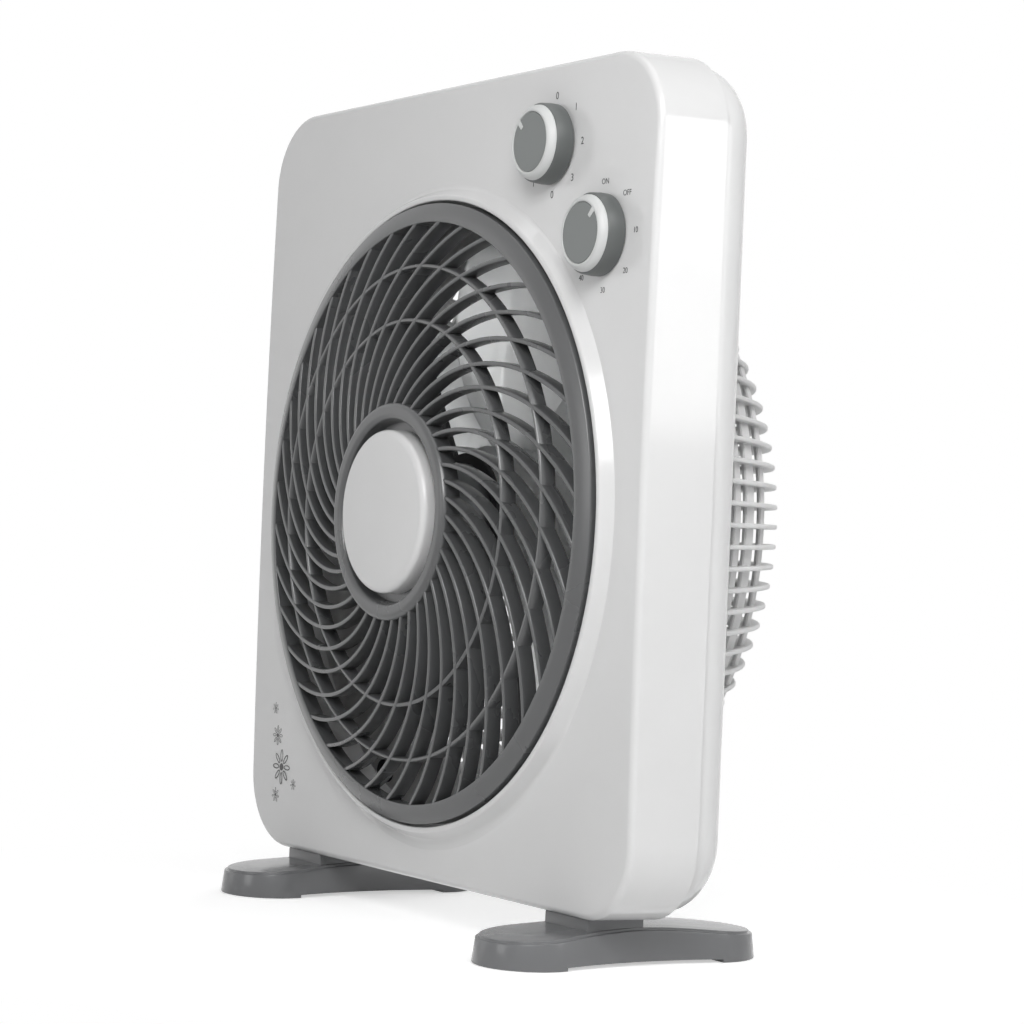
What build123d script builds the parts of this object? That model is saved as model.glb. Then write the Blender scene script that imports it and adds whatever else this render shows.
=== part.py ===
from build123d import *
import os
from math import atan, atan2, cos, degrees, radians, sin, sqrt

# Box fan, millimetres. The front faces -Y, +Z is up, the feet stand on z = 0
# and the origin is under the middle of the whole fan.

# Box
front_width = 350.0
front_height = 380.0
corner_radius = 36.0
front_crown = 2.1
skirt_depth = 34.5
skirt_flare = 0.9
wall = 2.4
rear_depth = 21.5
rear_overlap = 5.0
rear_edge_round = 18.0
rear_edge_facets = 2
rear_opening = 141.0
shell_gap = 0.3

# Places in the box
plate_y = -42.0
plate_z = 211.0
axis_drop = 15.0
speed_dial = (92.5, 153.0)
timer_dial = (136.0, 109.3)
capacitor_place = (-112.0, 142.0)
gland_place = (-125.0, -150.0)

# Bezel and air duct
bezel_bore = 151.0
bezel_crest = 9.0
bezel_crest_width = 2.4
bezel_foot = 158.0
duct_depth = 16.0

# Screws and their pillars
pillar_inset = 24.0
pillar_radius = 5.0
screw_hole_radius = 1.9
screw_radius = 1.7
screw_head_radius = 3.6
screw_head_height = 2.4
screw_bite = 12.0
screw_sides = 8
pillar_length = 8.0

# Spiral grille, fronts given as the distance in front of the plate
vane_count = 40
vane_thickness = 2.0
vane_depth = 8.0
vane_sweep = 0.566
vane_phase = 1.3
hub_ring_radius = 51.8
hub_ring_front = 25.2
hub_ring_inner = 43.5
hub_ring_edge = 2.2
inner_hoop_radius = 91.1
inner_hoop_front = 20.5
outer_hoop_radius = 117.2
hoop_thickness = 2.0
hoop_margin = 0.6
rim_inner_radius = 137.5
rim_inner_front = 12.0
rim_radius = 149.6
rim_back = 1.0
hub_plate_thickness = 2.5
collar_radius = 8.0
collar_length = 11.0
cap_radius = 39.0
cap_front = 30.0

# Rear guard, depths behind the plate
bowl_radius = 148.0
bowl_start = 56.0
bowl_depth = 68.0
bowl_power = 3.0
fin_pitch = 9.75
fin_half_count = 14
fin_thickness = 2.4
fin_width = 7.0
fin_outer_steps = 4
fin_inner_steps = 2
fin_spread = 0.55
flange_radius = 154.0
flange_thickness = 2.4
guard_hoop_depth = 78.0
guard_hoop_sides = 48
guard_hoop_width = 6.0
guard_hoop_thickness = 2.4
guard_hoop_inset = 1.0
motor_disc_radius = 50.0
motor_disc_thickness = 3.0

# Drive motor, depths behind the plate
motor_front = 66.0
stack_front = 80.0
stack_back = 100.0
motor_across = 84.0
motor_sides = 8
cover_wall = 2.5
stack_bore_radius = 24.0
coil_inner_across = 52.0
coil_outer_across = 64.0
coil_height = 8.0
rotor_gap = 0.4
rotor_sides = 24
shaft_radius = 4.0
running_gap = 0.05
bearing_radius = 8.0
bearing_length = 7.0
bearing_boss_radius = 11.0
bolt_reach = 26.5
bolt_radius = 2.0
bolt_head_radius = 3.4
bolt_head_height = 3.0

# Impeller, depths behind the plate
impeller_front = 28.0
impeller_back = 60.0
impeller_hub_radius = 34.0
impeller_hub_wall = 2.5
impeller_face = 10.0
blade_count = 5
blade_radius = 138.0
blade_thickness = 2.0
blade_front = 29.0
blade_middle = 47.0
blade_back = 58.0
blade_reach = 52.0
blade_root = 28.0
blade_root_half = 17.0
blade_half_width = 46.0
blade_bulge = 4.0
blade_turn = -10.0
nut_radius = 8.0
nut_height = 5.0

# Grille drive, depths behind the plate
bracket_depth = 16.5
bracket_thickness = 3.0
bracket_arms = 2
bracket_turn = 122.0
bracket_arm_width = 12.0
bracket_plate_radius = 30.0
bracket_boss_circle = 163.0
grille_motor_radius = 25.0
grille_motor_sides = 24
grille_motor_depth = 18.0
grille_shaft_radius = 3.5
grille_shaft_hold = 10.0

# Knobs and what is behind them
knob_radius = 18.4
knob_face_radius = 13.6
knob_front = 16.5
knob_back = 2.4
knob_bore_depth = 10.5
spindle_radius = 3.0
spindle_sides = 12
spindle_hold = 8.0
bush_radius = 5.0
pointer_width = 2.2
pointer_length = 4.2
pointer_depth = 0.6
speed_pointer = -45.0
timer_pointer = 45.0
switch_size = (34.0, 34.0, 18.0)
timer_size = (38.0, 38.0, 24.0)
capacitor_size = (40.0, 22.0, 26.0)

# Feet
foot_length = 143.0
foot_end_width = 50.0
foot_waist = 40.0
foot_end = 30.0
foot_spacing = 242.5
foot_y = -10.5
foot_height = 17.0
foot_end_height = 12.0
foot_arch = 1.5
foot_arch_length = 84.0
plinth_width = 34.0
plinth_inset = 4.0
foot_screw_rows = (10.0, 22.0)
foot_boss_height = 12.0

# Cord gland
gland_radius = 6.0
gland_sides = 16
gland_flange_radius = 8.5
gland_flange = 3.0
gland_bore = 3.6

# Worked out from the sizes above
axis_z = plate_z - axis_drop
skirt_y = plate_y + skirt_depth
rear_y = skirt_y + rear_depth
skirt_draft = degrees(atan(skirt_flare / skirt_depth))
plate_bottom = plate_z - front_height / 2
rear_width = front_width + 2 * (skirt_flare - wall - shell_gap)
rear_height = front_height + 2 * (skirt_flare - wall - shell_gap)
rear_corner = corner_radius - wall - shell_gap
pillar_y = skirt_y - pillar_length
pillar_x = front_width / 2 - pillar_inset
pillar_z = front_height / 2 - pillar_inset
pillar_places = [(side * pillar_x, end * pillar_z) for side in (-1, 1) for end in (-1, 1)]
dial_places = [speed_dial, timer_dial]
foot_places = [-foot_spacing / 2, foot_spacing / 2]
foot_screw_places = [(x, plate_y + row) for x in foot_places for row in foot_screw_rows]
motor_back = bowl_start + bowl_depth - fin_width
bolt_places = [(bolt_reach, 2.5 * fin_pitch), (-bolt_reach, -2.5 * fin_pitch)]
fan_axis = Axis((0, 0, axis_z), (0, 1, 0))
fan_section = Plane((0, 0, axis_z), x_dir=(1, 0, 0), z_dir=(0, 0, 1))


def behind(depth):
    """Y of a place that lies so far behind the front plate, or in front of it if negative."""
    return plate_y + depth


def facing(depth, z=axis_z):
    """Plane at a depth that looks out of the front: its x is the fan's X, its y is the fan's Z."""
    return Plane((0, behind(depth), z), x_dir=(1, 0, 0), z_dir=(0, -1, 0))


def section(*points):
    """Closed profile of (radius, depth) points, to be turned about the fan axis."""
    with BuildSketch(fan_section) as outline:
        with BuildLine():
            Polyline(*[(radius, behind(depth)) for radius, depth in points], close=True)
        make_face()
    return outline.sketch


def octagon(depth, across):
    """Eight-sided motor outline at a depth."""
    with BuildSketch(facing(depth)) as outline:
        RegularPolygon(across / 2, motor_sides, major_radius=False, rotation=180 / motor_sides)
    return outline.sketch


def discs(depth, radius, places, z=axis_z):
    """Equal circles at a depth, placed about the fan axis or about another height."""
    with BuildSketch(facing(depth, z)) as outline:
        with Locations(*places):
            Circle(radius)
    return outline.sketch


def pegs(depth, radius, sides, places, z=axis_z):
    """Equal flat-sided outlines that fit inside circles of that radius."""
    with BuildSketch(facing(depth, z)) as outline:
        with Locations(*places):
            RegularPolygon(radius, sides)
    return outline.sketch


def sockets(depth, radius, sides, places, z=axis_z):
    """Equal flat-sided outlines that clear circles of that radius."""
    with BuildSketch(facing(depth, z)) as outline:
        with Locations(*places):
            RegularPolygon(radius, sides, major_radius=False)
    return outline.sketch


def finish(piece, name):
    """Name a piece and write it."""
    piece.part.label = name
    export_step(piece.part, f"parts/{name}.step")


os.makedirs("parts", exist_ok=True)
centre = [(0, 0)]

# Front housing
crown_radius = (front_height**2 / 4 + front_crown**2) / (2 * front_crown)
crown_reach = front_height / 2 + 10
crown_end = -front_crown + crown_radius - sqrt(crown_radius**2 - crown_reach**2)
clear_front = 20.0
weld = 0.5
with BuildPart() as front_housing:
    with BuildSketch(facing(skirt_depth, plate_z)):
        RectangleRounded(front_width + 2 * skirt_flare, front_height + 2 * skirt_flare, corner_radius)
    extrude(amount=skirt_depth + front_crown + 1, taper=skirt_draft)
    with BuildSketch(Plane.YZ):
        with BuildLine():
            ThreePointArc(
                (behind(crown_end), plate_z - crown_reach),
                (behind(-front_crown), plate_z),
                (behind(crown_end), plate_z + crown_reach),
            )
            Polyline(
                (behind(crown_end), plate_z + crown_reach),
                (behind(-clear_front), plate_z + crown_reach),
                (behind(-clear_front), plate_z - crown_reach),
                (behind(crown_end), plate_z - crown_reach),
            )
        make_face()
    extrude(amount=front_width, both=True, mode=Mode.SUBTRACT)
    with BuildSketch(facing(skirt_depth, plate_z)):
        RectangleRounded(
            front_width + 2 * (skirt_flare - wall),
            front_height + 2 * (skirt_flare - wall),
            corner_radius - wall,
        )
    extrude(amount=skirt_depth - wall, taper=skirt_draft, mode=Mode.SUBTRACT)
    # Bezel with its crest in front of the plate, running back as the air duct
    revolve(
        section(
            (bezel_bore - 1, wall),
            (bezel_bore - 1, -bezel_crest),
            (bezel_bore + bezel_crest_width, -bezel_crest),
            (bezel_foot, -front_crown / 2),
            (bezel_foot, wall),
        ),
        axis=fan_axis,
    )
    extrude(discs(wall - weld, bezel_bore + wall, centre), amount=-(duct_depth - wall + weld))
    extrude(
        discs(-clear_front, bezel_bore, centre),
        amount=-(duct_depth + 2 * clear_front),
        mode=Mode.SUBTRACT,
    )
    # Screw pillars in the corners, bosses for the grille bracket and for the feet
    extrude(
        pegs(wall - weld, pillar_radius, screw_sides, pillar_places, plate_z),
        amount=-(pillar_y - behind(wall - weld)),
    )
    with BuildSketch(facing(wall - weld)):
        with PolarLocations(bracket_boss_circle, bracket_arms, start_angle=bracket_turn):
            RegularPolygon(pillar_radius, screw_sides)
    extrude(amount=-(bracket_depth - wall + weld))
    with BuildSketch(Plane.XY.offset(plate_bottom + wall - 2 * weld)):
        with Locations(*foot_screw_places):
            RegularPolygon(pillar_radius, screw_sides)
    extrude(amount=foot_boss_height)
    # Screw holes and the two dial holes
    extrude(
        sockets(pillar_y - plate_y, screw_hole_radius, screw_sides, pillar_places, plate_z),
        amount=screw_bite + 2,
        mode=Mode.SUBTRACT,
    )
    with BuildSketch(Plane.XY):
        with Locations(*foot_screw_places):
            RegularPolygon(screw_hole_radius, screw_sides, major_radius=False)
    extrude(amount=plate_bottom + screw_bite, mode=Mode.SUBTRACT)
    extrude(
        sockets(-clear_front, bush_radius + shell_gap, spindle_sides, dial_places, plate_z),
        amount=-(clear_front + wall + 1),
        mode=Mode.SUBTRACT,
    )
finish(front_housing, "front_housing")

# Rear housing, whose front end slides into the skirt; its rear edge is rounded in facets
lap_depth = skirt_depth - rear_overlap
rear_depth_all = skirt_depth + rear_depth
straight_end = rear_depth_all - rear_edge_round
edge_turns = [radians(90 * step / rear_edge_facets) for step in range(rear_edge_facets + 1)]


def rear_outline(depth, inset):
    """The rear housing's outline at a depth, set in all round."""
    with BuildSketch(facing(depth, plate_z)) as outline:
        RectangleRounded(rear_width - 2 * inset, rear_height - 2 * inset, rear_corner - inset)
    return outline.sketch


head_seat = 10.0
with BuildPart() as rear_housing:
    extrude(rear_outline(lap_depth, 0), amount=-(straight_end - lap_depth))
    for turn, next_turn in zip(edge_turns, edge_turns[1:]):
        inset = rear_edge_round * (1 - cos(turn))
        outset = rear_edge_round * (1 - cos(next_turn))
        start = rear_edge_round * sin(turn)
        rise = rear_edge_round * sin(next_turn) - start
        extrude(
            rear_outline(straight_end + start, inset),
            amount=-rise,
            taper=degrees(atan2(outset - inset, rise)),
        )
    extrude(rear_outline(lap_depth, wall), amount=-(straight_end - lap_depth), mode=Mode.SUBTRACT)
    extrude(
        rear_outline(straight_end, rear_edge_round - wall),
        amount=-(rear_edge_round - wall),
        mode=Mode.SUBTRACT,
    )
    extrude(
        pegs(pillar_y - plate_y, pillar_radius, screw_sides, pillar_places, plate_z),
        amount=-(rear_y - wall + weld - pillar_y),
    )
    extrude(
        sockets(pillar_y - plate_y - 1, screw_hole_radius, screw_sides, pillar_places, plate_z),
        amount=-(pillar_length + rear_depth + 2),
        mode=Mode.SUBTRACT,
    )
    extrude(
        sockets(rear_depth_all + 1, screw_head_radius + shell_gap, screw_sides, pillar_places, plate_z),
        amount=head_seat + 1,
        mode=Mode.SUBTRACT,
    )
    extrude(
        discs(lap_depth, rear_opening, centre),
        amount=-(rear_depth + 2 * rear_overlap),
        mode=Mode.SUBTRACT,
    )
    extrude(
        sockets(lap_depth, gland_radius + shell_gap, gland_sides, [gland_place], plate_z),
        amount=-(rear_depth + 2 * rear_overlap),
        mode=Mode.SUBTRACT,
    )
finish(rear_housing, "rear_housing")

# Housing screws, driven from the back through the rear pillars
with BuildPart() as housing_screws:
    extrude(
        pegs(rear_depth_all - head_seat, screw_head_radius, screw_sides, pillar_places, plate_z),
        amount=-screw_head_height,
    )
    extrude(
        pegs(rear_depth_all - head_seat, screw_radius, screw_sides, pillar_places, plate_z),
        amount=rear_y - head_seat - pillar_y + screw_bite,
    )
finish(housing_screws, "housing_screws")

# Cord gland
with BuildPart() as cord_gland:
    extrude(
        pegs(rear_depth_all, gland_flange_radius, gland_sides, [gland_place], plate_z),
        amount=-gland_flange,
    )
    extrude(
        pegs(rear_depth_all, gland_radius, gland_sides, [gland_place], plate_z),
        amount=wall + gland_flange,
    )
    extrude(
        sockets(rear_depth_all + gland_flange, gland_bore, gland_sides, [gland_place], plate_z),
        amount=wall + 3 * gland_flange,
        mode=Mode.SUBTRACT,
    )
finish(cord_gland, "cord_gland")


def bowl(radius, depth, across, height):
    """Depth of a bowl of revolution, at a distance across it and a height above its middle."""
    reach = min(1.0, sqrt(across**2 + height**2) / radius)
    return bowl_start + depth * (1 - reach**bowl_power) ** (1 / bowl_power)


def bowl_edge(radius, depth, height, steps):
    """Points of one level cut through a bowl, from its right rim to its left."""
    rim = sqrt(radius**2 - height**2)
    angles = [90 * step / steps for step in range(steps + 1)]
    half = [rim * cos(radians(angle)) ** fin_spread for angle in angles[:-1]] + [0.0]
    across = half + [-x for x in reversed(half[:-1])]
    return [(x, behind(bowl(radius, depth, x, height))) for x in across]


# Rear guard: level fins that follow a bowl, a hoop, a flange and the motor disc
hoop_share = (guard_hoop_depth - bowl_start) / bowl_depth
guard_hoop = bowl_radius * (1 - hoop_share**bowl_power) ** (1 / bowl_power) - guard_hoop_inset
with BuildPart() as rear_guard:
    extrude(discs(bowl_start, flange_radius, centre), amount=-flange_thickness)
    extrude(discs(bowl_start, rear_opening, centre), amount=-flange_thickness, mode=Mode.SUBTRACT)
    for level in range(-fin_half_count, fin_half_count + 1):
        height = level * fin_pitch
        outer = bowl_edge(bowl_radius, bowl_depth, height, fin_outer_steps)
        inner = bowl_edge(bowl_radius - fin_width, bowl_depth - fin_width, height, fin_inner_steps)
        with BuildSketch(Plane.XY.offset(axis_z + height - fin_thickness / 2)):
            with BuildLine():
                Polyline(*outer, *reversed(inner), close=True)
            make_face()
        extrude(amount=fin_thickness)
    with BuildSketch(facing(guard_hoop_depth - guard_hoop_width / 2)):
        RegularPolygon(guard_hoop, guard_hoop_sides)
        RegularPolygon(guard_hoop - guard_hoop_thickness, guard_hoop_sides, mode=Mode.SUBTRACT)
    extrude(amount=-guard_hoop_width)
    extrude(
        pegs(motor_back, motor_disc_radius, rotor_sides, centre),
        amount=stack_back - stack_front,
        mode=Mode.SUBTRACT,
    )
    extrude(pegs(motor_back, motor_disc_radius, rotor_sides, centre), amount=-motor_disc_thickness)
    extrude(
        sockets(motor_back - 1, bolt_radius + 0.1, screw_sides, bolt_places),
        amount=-2 * motor_disc_thickness,
        mode=Mode.SUBTRACT,
    )
finish(rear_guard, "rear_guard")


def dome(radius):
    """How far the grille's dome stands in front of the plate at a radius."""
    if radius < inner_hoop_radius:
        share = (radius - hub_ring_radius) / (inner_hoop_radius - hub_ring_radius)
        return hub_ring_front + share * (inner_hoop_front - hub_ring_front)
    share = (radius - inner_hoop_radius) / (rim_inner_radius - inner_hoop_radius)
    return inner_hoop_front + share * (rim_inner_front - inner_hoop_front)


def vane_turn(radius):
    """How far a vane has wound clockwise at a radius, seen from the front."""
    return vane_phase + vane_sweep * (radius - hub_ring_radius)


def spiral(radius):
    """Point on the middle line of the first vane."""
    turn = radians(vane_turn(radius))
    middle = behind(vane_depth / 2 - dome(radius))
    return (radius * sin(turn), middle, axis_z + radius * cos(turn))


# One vane: a bar that winds out over the dome in straight lengths, bent inside the hoops
with BuildPart() as vane:
    with BuildLine() as vane_path:
        Polyline(
            spiral(hub_ring_radius - 1.5),
            spiral(inner_hoop_radius),
            spiral(outer_hoop_radius),
            spiral(rim_inner_radius + 1.5),
        )
    with BuildSketch(Plane(vane_path.line @ 0, x_dir=(0, 1, 0), z_dir=vane_path.line % 0)):
        Rectangle(vane_depth, vane_thickness)
    sweep(path=vane_path.line, transition=Transition.RIGHT)

def vane_ring(radius, front):
    """Flat-sided outline at a front, each of whose flats is centred on a vane."""
    with BuildSketch(facing(-front)) as outline:
        flat = 90 - vane_turn(radius) - 180 / vane_count
        RegularPolygon(radius, vane_count, major_radius=False, rotation=flat)
    return outline.sketch


# Spiral grille: rim with its flats inside, hoops, hub with a well for the cap, and the vanes
hub_back = vane_depth + hoop_margin - hub_ring_front
hub_front = hub_ring_front + hub_ring_edge
rim_seat = vane_depth + hoop_margin - rim_inner_front
rim_front = rim_inner_front + hoop_margin
upright_vane = facing(0).location.inverse() * vane.part
with BuildPart() as front_grille:
    revolve(
        section(
            (rim_inner_radius - 1, rim_seat),
            (rim_inner_radius - 1, -rim_front),
            (rim_radius, -rim_front),
            (rim_radius, -rim_back),
            (rim_radius - vane_thickness, -rim_back),
            (rim_radius - vane_thickness, rim_seat),
        ),
        axis=fan_axis,
    )
    extrude(vane_ring(rim_inner_radius, rim_front), amount=-clear_front, mode=Mode.SUBTRACT)
    for radius in (inner_hoop_radius, outer_hoop_radius):
        hoop_front = dome(radius) + hoop_margin
        hoop_depth = vane_depth + 2 * hoop_margin
        extrude(vane_ring(radius + hoop_thickness / 2, hoop_front), amount=-hoop_depth)
        extrude(
            vane_ring(radius - hoop_thickness / 2, hoop_front),
            amount=-hoop_depth,
            mode=Mode.SUBTRACT,
        )
    extrude(vane_ring(hub_ring_radius, hub_front), amount=-(hub_front + hub_back))
    extrude(
        discs(-hub_front, hub_ring_inner, centre),
        amount=-(hub_front + hub_back - hub_plate_thickness),
        mode=Mode.SUBTRACT,
    )
    extrude(discs(hub_back, collar_radius, centre), amount=-collar_length)
    extrude(
        discs(-hub_front, grille_shaft_radius + running_gap, centre),
        amount=-(hub_front + hub_back + collar_length),
        mode=Mode.SUBTRACT,
    )
    with Locations(facing(0)):
        with PolarLocations(0, vane_count):
            add(upright_vane)
finish(front_grille, "front_grille")

# Hub cap, seated on the hub plate
cap_back = hub_back - hub_plate_thickness
with BuildPart() as hub_cap:
    extrude(discs(cap_back, cap_radius, centre), amount=cap_front + cap_back)
finish(hub_cap, "hub_cap")

# Grille motor, its shaft and the bracket that carries it
motor_face = bracket_depth - grille_motor_depth
with BuildPart() as grille_motor:
    extrude(
        pegs(bracket_depth, grille_motor_radius, grille_motor_sides, centre),
        amount=grille_motor_depth,
    )
    extrude(
        discs(motor_face, grille_shaft_radius + running_gap, centre),
        amount=-(grille_shaft_hold + weld),
        mode=Mode.SUBTRACT,
    )
finish(grille_motor, "grille_motor")

with BuildPart() as grille_shaft:
    extrude(
        discs(motor_face + grille_shaft_hold, grille_shaft_radius, centre),
        amount=grille_shaft_hold + motor_face - cap_back - weld,
    )
finish(grille_shaft, "grille_shaft")

with BuildPart() as grille_bracket:
    with BuildSketch(facing(bracket_depth)):
        Circle(bracket_plate_radius)
        with PolarLocations(bracket_boss_circle / 2, bracket_arms, start_angle=bracket_turn):
            SlotCenterToCenter(bracket_boss_circle, bracket_arm_width)
    extrude(amount=-bracket_thickness)
finish(grille_bracket, "grille_bracket")

# Drive motor
bearing_seat = bearing_radius + running_gap
with BuildPart() as motor_front_cover:
    extrude(octagon(motor_front, motor_across), amount=-(stack_front - motor_front))
    extrude(
        octagon(motor_front + cover_wall, motor_across - 2 * cover_wall),
        amount=-(stack_front - motor_front),
        mode=Mode.SUBTRACT,
    )
    extrude(octagon(motor_front, 2 * bearing_boss_radius), amount=-bearing_length)
    extrude(octagon(motor_front, 2 * bearing_seat), amount=-bearing_length, mode=Mode.SUBTRACT)
    extrude(
        sockets(motor_front, bolt_radius + 0.1, screw_sides, bolt_places),
        amount=-cover_wall,
        mode=Mode.SUBTRACT,
    )
finish(motor_front_cover, "motor_front_cover")

with BuildPart() as motor_rear_cover:
    extrude(octagon(stack_back, motor_across), amount=-(motor_back - stack_back))
    extrude(
        octagon(stack_back, motor_across - 2 * cover_wall),
        amount=-(motor_back - stack_back - cover_wall),
        mode=Mode.SUBTRACT,
    )
    extrude(octagon(motor_back - cover_wall, 2 * bearing_boss_radius), amount=bearing_length)
    extrude(
        octagon(motor_back - cover_wall, 2 * bearing_seat),
        amount=bearing_length,
        mode=Mode.SUBTRACT,
    )
    extrude(
        sockets(motor_back, bolt_radius + 0.1, screw_sides, bolt_places),
        amount=cover_wall,
        mode=Mode.SUBTRACT,
    )
finish(motor_rear_cover, "motor_rear_cover")

stack_length = stack_back - stack_front
with BuildPart() as stator_core:
    extrude(octagon(stack_front, motor_across), amount=-stack_length)
    extrude(
        sockets(stack_front, stack_bore_radius, rotor_sides, centre),
        amount=-stack_length,
        mode=Mode.SUBTRACT,
    )
    extrude(
        sockets(stack_front, bolt_radius + 0.1, screw_sides, bolt_places),
        amount=-stack_length,
        mode=Mode.SUBTRACT,
    )
finish(stator_core, "stator_core")

with BuildPart() as stator_coils:
    for depth in (stack_front - coil_height, stack_back):
        extrude(octagon(depth, coil_outer_across), amount=-coil_height)
        extrude(octagon(depth, coil_inner_across), amount=-coil_height, mode=Mode.SUBTRACT)
finish(stator_coils, "stator_coils")

bearing_depths = {
    "front_bearing": motor_front,
    "rear_bearing": motor_back - cover_wall - bearing_length,
}
for name, depth in bearing_depths.items():
    with BuildPart() as bearing:
        extrude(octagon(depth, 2 * bearing_radius), amount=-bearing_length)
        extrude(
            discs(depth, shaft_radius + running_gap, centre),
            amount=-bearing_length,
            mode=Mode.SUBTRACT,
        )
    finish(bearing, name)

with BuildPart() as motor_bolts:
    head_depth = motor_back + motor_disc_thickness
    for place in bolt_places:
        with BuildSketch(facing(head_depth)):
            with Locations(place):
                RegularPolygon(bolt_head_radius, 6, rotation=30)
        extrude(amount=-bolt_head_height)
    extrude(pegs(head_depth, bolt_radius, screw_sides, bolt_places), amount=head_depth - motor_front)
finish(motor_bolts, "motor_bolts")

# Rotor, shaft, impeller and the nut that holds it
shaft_front = impeller_front - nut_height
shaft_back = motor_back - cover_wall - 1
with BuildPart() as motor_shaft:
    extrude(discs(shaft_back, shaft_radius, centre), amount=shaft_back - shaft_front)
finish(motor_shaft, "motor_shaft")

with BuildPart() as rotor:
    extrude(
        pegs(stack_back, stack_bore_radius - rotor_gap, rotor_sides, centre),
        amount=stack_length,
    )
    extrude(
        sockets(stack_back, shaft_radius + running_gap, spindle_sides, centre),
        amount=stack_length,
        mode=Mode.SUBTRACT,
    )
finish(rotor, "rotor")

with BuildPart() as impeller_nut:
    with BuildSketch(facing(impeller_front)):
        RegularPolygon(nut_radius, 6)
        RegularPolygon(
            shaft_radius + running_gap,
            spindle_sides,
            major_radius=False,
            mode=Mode.SUBTRACT,
        )
    extrude(amount=nut_height)
finish(impeller_nut, "impeller_nut")

# One blade stands straight up from the hub: a cambered strip, cut to the blade's outline,
# that throws the air forward when it turns clockwise seen from the front
with BuildPart() as blade:
    with BuildSketch(fan_section.offset(blade_root)):
        with BuildLine():
            ThreePointArc(
                (blade_reach, behind(blade_back)),
                (0, behind(blade_middle)),
                (-blade_reach, behind(blade_front)),
            )
            Line(
                (-blade_reach, behind(blade_front)),
                (-blade_reach, behind(blade_front + blade_thickness)),
            )
            ThreePointArc(
                (-blade_reach, behind(blade_front + blade_thickness)),
                (0, behind(blade_middle + blade_thickness)),
                (blade_reach, behind(blade_back + blade_thickness)),
            )
            Line(
                (blade_reach, behind(blade_back + blade_thickness)),
                (blade_reach, behind(blade_back)),
            )
        make_face()
    extrude(amount=blade_radius)
    tip = sqrt(blade_radius**2 - blade_half_width**2)
    middle = (blade_root + tip) / 2
    with BuildSketch(facing(0)):
        with BuildLine():
            ThreePointArc(
                (-blade_root_half, blade_root),
                (-blade_half_width - blade_bulge, middle),
                (-blade_half_width, tip),
            )
            ThreePointArc((-blade_half_width, tip), (0, blade_radius), (blade_half_width, tip))
            ThreePointArc(
                (blade_half_width, tip),
                (blade_half_width - blade_bulge, middle),
                (blade_root_half, blade_root),
            )
            Line((blade_root_half, blade_root), (-blade_root_half, blade_root))
        make_face()
    extrude(amount=-2 * blade_back, mode=Mode.INTERSECT)

impeller_length = impeller_back - impeller_front
upright_blade = facing(0).location.inverse() * blade.part
with BuildPart() as impeller:
    with Locations(facing(0)):
        with PolarLocations(0, blade_count, start_angle=blade_turn):
            add(upright_blade)
    extrude(discs(impeller_front, impeller_hub_radius, centre), amount=-impeller_length)
    extrude(
        discs(impeller_front + impeller_face, impeller_hub_radius - impeller_hub_wall, centre),
        amount=-impeller_length,
        mode=Mode.SUBTRACT,
    )
    extrude(
        sockets(impeller_front, shaft_radius + running_gap, spindle_sides, centre),
        amount=-impeller_face,
        mode=Mode.SUBTRACT,
    )
finish(impeller, "impeller")

# Knobs, spindles and what they work
dials = {
    "speed": (speed_dial, speed_pointer, "speed_switch", switch_size),
    "timer": (timer_dial, timer_pointer, "timer_movement", timer_size),
}
for name, (place, pointer, works, size) in dials.items():
    with BuildPart() as knob:
        extrude(discs(-knob_back, knob_radius, [place], plate_z), amount=knob_front - knob_back)
        extrude(
            sockets(-knob_back, spindle_radius + running_gap, spindle_sides, [place], plate_z),
            amount=knob_bore_depth,
            mode=Mode.SUBTRACT,
        )
        with BuildSketch(facing(-knob_front, plate_z)):
            with Locations(place):
                with PolarLocations(knob_face_radius - pointer_length / 2, 1, start_angle=90 - pointer):
                    Rectangle(pointer_length, pointer_width)
        extrude(amount=-pointer_depth, mode=Mode.SUBTRACT)
    finish(knob, f"{name}_knob")
    with BuildPart() as spindle:
        extrude(
            pegs(wall + spindle_hold, spindle_radius, spindle_sides, [place], plate_z),
            amount=wall + spindle_hold + knob_back + knob_bore_depth - running_gap,
        )
    finish(spindle, f"{name}_spindle")
    with BuildPart() as body:
        with BuildSketch(facing(wall, plate_z)):
            with Locations(place):
                Rectangle(size[0], size[1])
        extrude(amount=-size[2])
        extrude(pegs(wall, bush_radius, spindle_sides, [place], plate_z), amount=wall + knob_back / 2)
        extrude(
            sockets(-knob_back, spindle_radius + running_gap, spindle_sides, [place], plate_z),
            amount=-(wall + knob_back + spindle_hold + running_gap),
            mode=Mode.SUBTRACT,
        )
    finish(body, works)

with BuildPart() as run_capacitor:
    with BuildSketch(facing(wall, plate_z)):
        with Locations(capacitor_place):
            Rectangle(capacitor_size[0], capacitor_size[1])
    extrude(amount=-capacitor_size[2])
finish(run_capacitor, "run_capacitor")

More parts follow.
